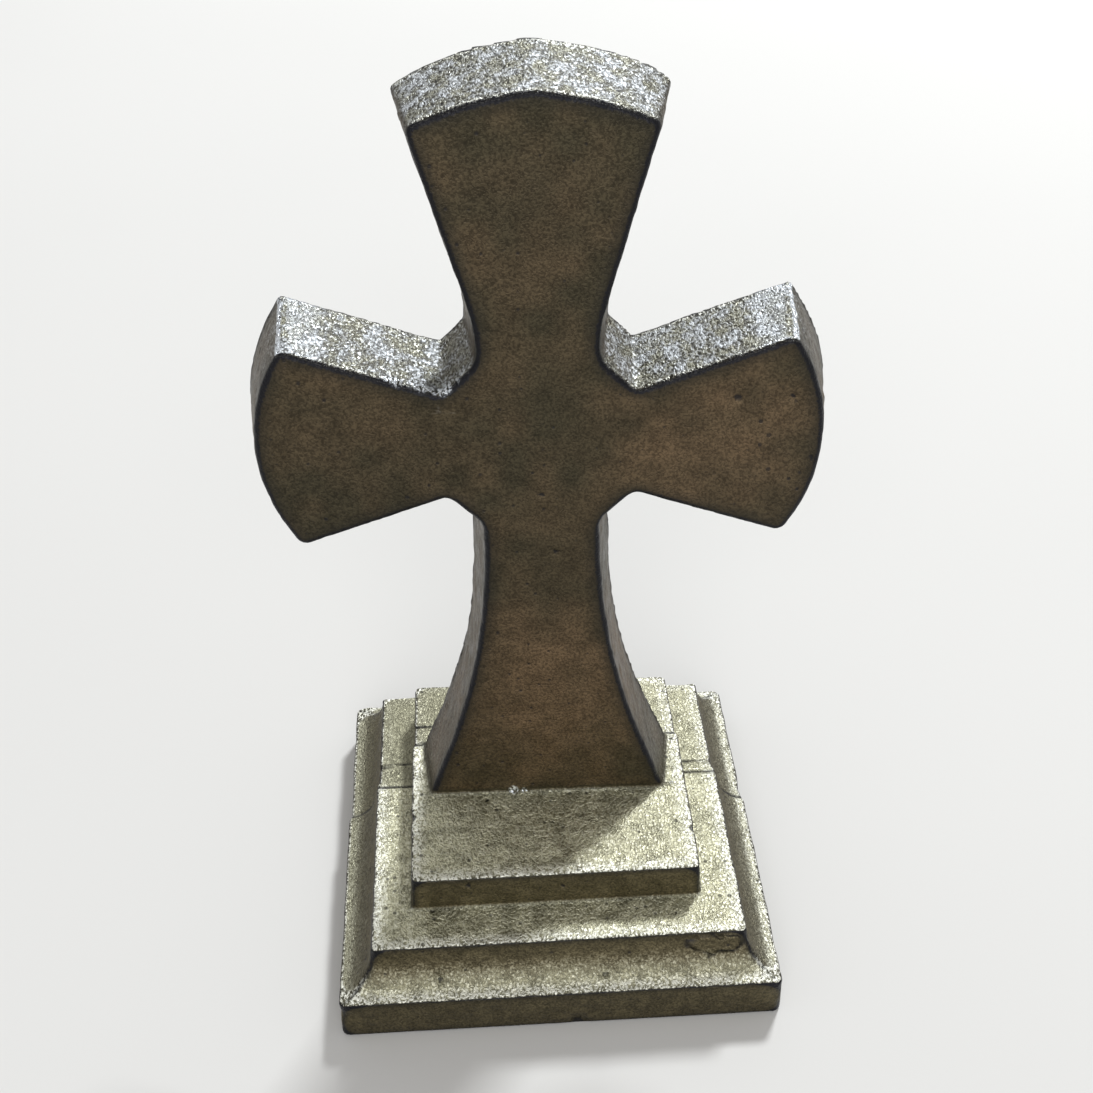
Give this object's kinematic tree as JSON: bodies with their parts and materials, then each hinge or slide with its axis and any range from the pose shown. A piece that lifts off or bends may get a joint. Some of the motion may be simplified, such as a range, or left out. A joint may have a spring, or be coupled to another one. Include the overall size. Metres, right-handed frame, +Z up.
{
  "type": "iron grave cross",
  "caption": "Small free-standing cast-iron cross with flared arms and a flared stem on a stepped square plinth, cast in one piece.",
  "frame": {"origin": "on the ground under the middle of the slab", "axes": "+Z up, -Y towards the front of the cross, +X to the right as seen from the front"},
  "size_m": [0.1214, 0.1002, 0.2055],
  "materials": {
    "bronzed_iron": "dull gold-bronze paint worn to black iron along the edges, over coarse sand-cast grain"
  },
  "bodies": {
    "root": {"grave_cross": "bronzed_iron"}
  },
  "joints": []
}
